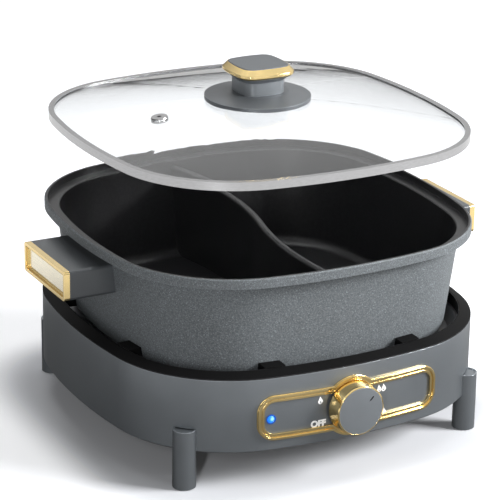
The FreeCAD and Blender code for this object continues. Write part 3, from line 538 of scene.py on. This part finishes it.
def put_on_panel(context, piece, place, thickness):
    """Stand a flat piece, made on XY about the origin, on the curved panel, and apply that."""
    x, z = place
    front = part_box("base_housing")[0].y
    wall_y = front + WALL_RADIUS - math.sqrt(WALL_RADIUS**2 - x * x)
    piece.rotation_euler = (math.pi / 2, 0, math.asin(x / WALL_RADIUS))
    piece.location = (x, wall_y - thickness / 2, z)
    only(context, piece)
    bpy.ops.object.transform_apply(location=True, rotation=True, scale=True)
    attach(piece, "base")


def print_mark(context, piece, place):
    """Put a mark on the panel in white print."""
    put_on_panel(context, piece, place, context.scene.hotpot_marks.thickness)
    wear(piece, mark_paint(context.scene.hotpot_finish.mark))


def flat_ring(context, name, sides, radius, width, thickness):
    """A flat ring about the origin, raised off XY by its thickness."""
    bpy.ops.object.select_all(action="DESELECT")
    bpy.ops.mesh.primitive_circle_add(vertices=sides, radius=radius, fill_type="NGON")
    piece = context.object
    piece.name = name
    bpy.ops.object.mode_set(mode="EDIT")
    bpy.ops.mesh.select_all(action="SELECT")
    bpy.ops.mesh.inset(thickness=width, depth=0)
    bpy.ops.mesh.delete(type="ONLY_FACE")
    bpy.ops.mesh.select_all(action="SELECT")
    bpy.ops.mesh.extrude_region_move(TRANSFORM_OT_translate={"value": (0, 0, thickness)})
    bpy.ops.mesh.select_all(action="SELECT")
    bpy.ops.mesh.normals_make_consistent()
    bpy.ops.object.mode_set(mode="OBJECT")
    return piece


def flame(context, name, height, thickness):
    """A flat flame: a drop that narrows and leans upwards, with a small hole low in its foot."""
    width = height * 0.35
    hole_reach = height * 0.3
    hole_drop = height * 0.28
    belly = 0.7  # width of the drop, as a share of the circle's
    taper_start, taper_length = 0.3, 0.72  # shares of the height
    lean_reach, lean_wave = height * 0.05, 3.6
    piece = flat_ring(context, name, FLAME_SIDES, height / 2, width, thickness)
    bpy.ops.object.mode_set(mode="EDIT")
    form = bmesh.from_edit_mesh(piece.data)
    rows = {}
    for point in form.verts:
        in_hole = point.co.xy.length < hole_reach
        rows.setdefault((in_hole, round(point.co.y, 7)), []).append(point)
    for (in_hole, _), row in rows.items():
        for point in form.verts:
            point.select = False
        for point in row:
            point.select = True
        form.select_flush_mode()
        row_y = row[0].co.y
        rise = row_y / height + 0.5
        narrowing = belly * (1 - max(0, rise - taper_start) / taper_length)
        lean = lean_reach * math.sin(rise * lean_wave)
        bpy.ops.transform.resize(value=(narrowing, 1, 1), center_override=(0, row_y, 0))
        bpy.ops.transform.translate(value=(lean, -hole_drop if in_hole else 0, 0))
    bpy.ops.object.mode_set(mode="OBJECT")
    return piece


class HOTPOT_OT_off_mark(bpy.types.Operator):
    """Print the word OFF beside the dial"""

    bl_idname = "hotpot.off_mark"
    bl_label = "Word OFF"

    def execute(self, context):
        settings = context.scene.hotpot_marks
        bpy.ops.object.text_add()
        word = context.object
        word.name = "off_mark"
        word.data.body = "OFF"
        word.data.align_x = "CENTER"
        word.data.align_y = "CENTER"
        word.data.size = settings.word_height / CAPITAL_HEIGHT
        word.data.extrude = settings.thickness
        word.data.offset = settings.word_weight
        only(context, word)
        bpy.ops.object.convert(target="MESH")
        print_mark(context, context.object, settings.word_place)
        return {"FINISHED"}


class HOTPOT_OT_flame_marks(bpy.types.Operator):
    """Print one, two and three flames for the three heats"""

    bl_idname = "hotpot.flame_marks"
    bl_label = "Flames"

    def execute(self, context):
        settings = context.scene.hotpot_marks
        pitch = settings.flame_height * 0.66
        pattern = flame(context, "flame_pattern", settings.flame_height, settings.thickness)
        middles = (settings.one_flame_place, settings.two_flames_place,
                   settings.three_flames_place)
        for count, (x, z) in enumerate(middles, 1):
            for number in range(count):
                only(context, pattern)
                bpy.ops.object.duplicate()
                piece = context.object
                piece.name = "flame_mark_%d_%d" % (count, number + 1)
                shift = (number - (count - 1) / 2) * pitch
                print_mark(context, piece, (x + shift, z))
        only(context, pattern)
        bpy.ops.object.delete()
        return {"FINISHED"}


class HOTPOT_OT_lamp_collar(bpy.types.Operator):
    """Set the tinted collar round the indicator lamp"""

    bl_idname = "hotpot.lamp_collar"
    bl_label = "Lamp collar"

    def execute(self, context):
        settings = context.scene.hotpot_marks
        radius, rise = settings.collar_radius, settings.collar_rise
        low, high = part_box("indicator_lens")
        width = radius - (high.x - low.x) / 2
        piece = flat_ring(context, "lamp_collar", COLLAR_SIDES, radius, width, rise)
        only(context, piece)
        bpy.ops.object.modifier_add(type="BEVEL")
        bevel = piece.modifiers[-1]
        bevel.width = rise / 2
        bevel.segments = 3
        bpy.ops.object.modifier_apply(modifier=bevel.name)
        bpy.ops.object.mode_set(mode="EDIT")
        bpy.ops.mesh.select_all(action="SELECT")
        bpy.ops.mesh.remove_doubles(threshold=SAME_POINT)
        bpy.ops.object.mode_set(mode="OBJECT")
        bpy.ops.object.shade_smooth_by_angle(angle=math.radians(40))
        put_on_panel(context, piece, ((low.x + high.x) / 2, (low.z + high.z) / 2), rise)
        wear(piece, tinted_lens("lamp_collar", context.scene.hotpot_finish.collar))
        return {"FINISHED"}


# Studio

WHITE = (1, 1, 1, 1)
FLOOR_SIZE = 14
PAPER = (0.8, 0.815, 0.85, 1)  # as the camera sees the floor
PAPER_BOUNCE = (0.2, 0.2, 0.2, 1)  # as it lights the object and shows in mirrors
SENSOR_WIDTH = 36  # millimetres
CLIP_END = 50
LAMP_TARGET = (0, 0, 0.12)
LAMPS = {  # place, width and height of each, by the name of its power in the settings
    "key": ((1.66, -1.24, 1.2), 0.9, 0.9),
    "strip": ((-1.05, -1.4, 0.42), 0.1, 1.1),
    "top": ((0.2, 0.4, 2.1), 1.7, 1.4),
}


class HOTPOT_OT_studio(bpy.types.Operator):
    """Set the floor, lamps, sky and camera"""

    bl_idname = "hotpot.studio"
    bl_label = "Studio"

    def execute(self, context):
        settings = context.scene.hotpot_studio
        add_floor(context)
        for name, (place, width, height) in LAMPS.items():
            add_lamp(context, name + "_lamp", place, width, height, getattr(settings, name))
        add_sky(context, settings)
        add_camera(context, settings)
        context.scene.view_settings.view_transform = "Standard"
        return {"FINISHED"}


def add_floor(context):
    """Pale paper that turns to a white background away from the object, and keeps its shadow. Near
    the object it glows less: a painted shadow round the base, for the camera and in mirrors.
    """
    bpy.ops.object.select_all(action="DESELECT")
    bpy.ops.mesh.primitive_plane_add(size=FLOOR_SIZE, location=(0, 0, 0))
    floor = context.object
    floor.name = "floor"
    graph = new_graph("floor_paper")
    graph.tree.nodes.clear()
    through = graph.ray("Transmission")
    in_view = graph.ray("Camera").larger(through)
    in_mirror = graph.ray("Glossy") * (1 - through)
    x, y, _ = graph.split(graph.place())
    reach = (x.squared().squared() + y.squared().squared()).root().root()
    # Painted shadow: within these reaches of the object the paper glows less, so it shows darker
    # round the base.
    clear_of_painted_shadow, backdrop = reach.ramp(0.155, 0.2), reach.ramp(0.8, 3)
    mirror_clear_of_painted_shadow = reach.ramp(0.27, 0.42)
    white_in_view = in_view * (0.5 * clear_of_painted_shadow + 0.45 * backdrop)
    white_in_mirror = 0.9 * in_mirror * mirror_clear_of_painted_shadow
    glow = graph.add("ShaderNodeEmission", None, {
        "Color": WHITE, "Strength": 0.02 + white_in_view.larger(white_in_mirror)})
    seen = graph.add("ShaderNodeBsdfDiffuse", None, {"Color": PAPER})
    unseen = graph.add("ShaderNodeBsdfDiffuse", None, {"Color": PAPER_BOUNCE})
    paper = graph.add("ShaderNodeMixShader", None, {0: in_view, 1: unseen, 2: seen})
    both = graph.add("ShaderNodeAddShader", None, {0: paper, 1: glow})
    graph.add("ShaderNodeOutputMaterial", None, {"Surface": both})
    wear(floor, graph.owner)


def add_lamp(context, name, place, width, height, power):
    bpy.ops.object.light_add(type="AREA", location=place)
    lamp = context.object
    lamp.name = name
    lamp.data.shape = "RECTANGLE"
    lamp.data.size = width
    lamp.data.size_y = height
    lamp.data.energy = power
    aim = Vector(LAMP_TARGET) - Vector(place)
    lamp.rotation_euler = aim.to_track_quat("-Z", "Y").to_euler()


def add_sky(context, settings):
    """A white sky that lights the object softly. Mirrors see it shaded towards the horizon."""
    context.scene.world = context.scene.world or bpy.data.worlds.new("sky")
    graph = Graph(context.scene.world)
    graph.tree.nodes.clear()
    in_view = graph.ray("Camera").larger(graph.ray("Transmission"))
    x, _, z = graph.split(graph.add("ShaderNodeTexCoord", take="Generated"))
    shaded = settings.horizon + (1 - settings.horizon) * (z + 0.25 * x).ramp(0.02, 0.62)
    lit = settings.sky + (shaded - settings.sky) * graph.ray("Glossy")
    strength = lit + (1 - lit) * in_view
    back = graph.add("ShaderNodeBackground", None, {"Color": WHITE, "Strength": strength})
    graph.add("ShaderNodeOutputWorld", None, {"Surface": back})


def add_camera(context, settings):
    level = math.cos(settings.elevation)
    back = Vector((math.sin(settings.azimuth) * level, -math.cos(settings.azimuth) * level,
                   math.sin(settings.elevation)))
    right = Vector((0, 0, 1)).cross(back).normalized()
    up = back.cross(right)
    lean_right = right * math.cos(settings.roll) + up * math.sin(settings.roll)
    lean_up = up * math.cos(settings.roll) - right * math.sin(settings.roll)
    turn = Matrix((lean_right, lean_up, back)).transposed().to_4x4()
    bpy.ops.object.camera_add()
    camera = context.object
    camera.name = "camera"
    place = Vector(settings.target) + back * settings.distance
    camera.matrix_world = Matrix.Translation(place) @ turn
    camera.data.sensor_width = SENSOR_WIDTH
    camera.data.lens = settings.lens
    camera.data.clip_end = CLIP_END
    context.scene.camera = camera


# Sidebar and registration

GROUPS = {"hotpot_finish": FinishSettings, "hotpot_marks": MarkSettings,
          "hotpot_studio": StudioSettings}
OPERATORS = (HOTPOT_OT_finishes, HOTPOT_OT_off_mark, HOTPOT_OT_flame_marks, HOTPOT_OT_lamp_collar,
             HOTPOT_OT_studio)


class HOTPOT_PT_looks(bpy.types.Panel):
    """Lists the steps that dress the hot pot, and their settings"""

    bl_label = "Hot pot"
    bl_idname = "HOTPOT_PT_looks"
    bl_space_type = "VIEW_3D"
    bl_region_type = "UI"
    bl_category = "Hot pot"

    def draw(self, context):
        for operator in OPERATORS:
            self.layout.operator(operator.bl_idname)
        for group in GROUPS:
            box = self.layout.box()
            settings = getattr(context.scene, group)
            for name in settings.bl_rna.properties.keys():
                if name not in ("rna_type", "name"):
                    box.prop(settings, name)


def register():
    for name, group in GROUPS.items():
        bpy.utils.register_class(group)
        setattr(bpy.types.Scene, name, bpy.props.PointerProperty(type=group))
    for operator in OPERATORS:
        bpy.utils.register_class(operator)
    bpy.utils.register_class(HOTPOT_PT_looks)


def unregister():
    bpy.utils.unregister_class(HOTPOT_PT_looks)
    for operator in reversed(OPERATORS):
        bpy.utils.unregister_class(operator)
    for name, group in GROUPS.items():
        delattr(bpy.types.Scene, name)
        bpy.utils.unregister_class(group)


def main():
    register()
    bpy.ops.hotpot.finishes()
    bpy.ops.hotpot.off_mark()
    bpy.ops.hotpot.flame_marks()
    bpy.ops.hotpot.lamp_collar()
    bpy.ops.hotpot.studio()


if __name__ == "__main__":
    main()
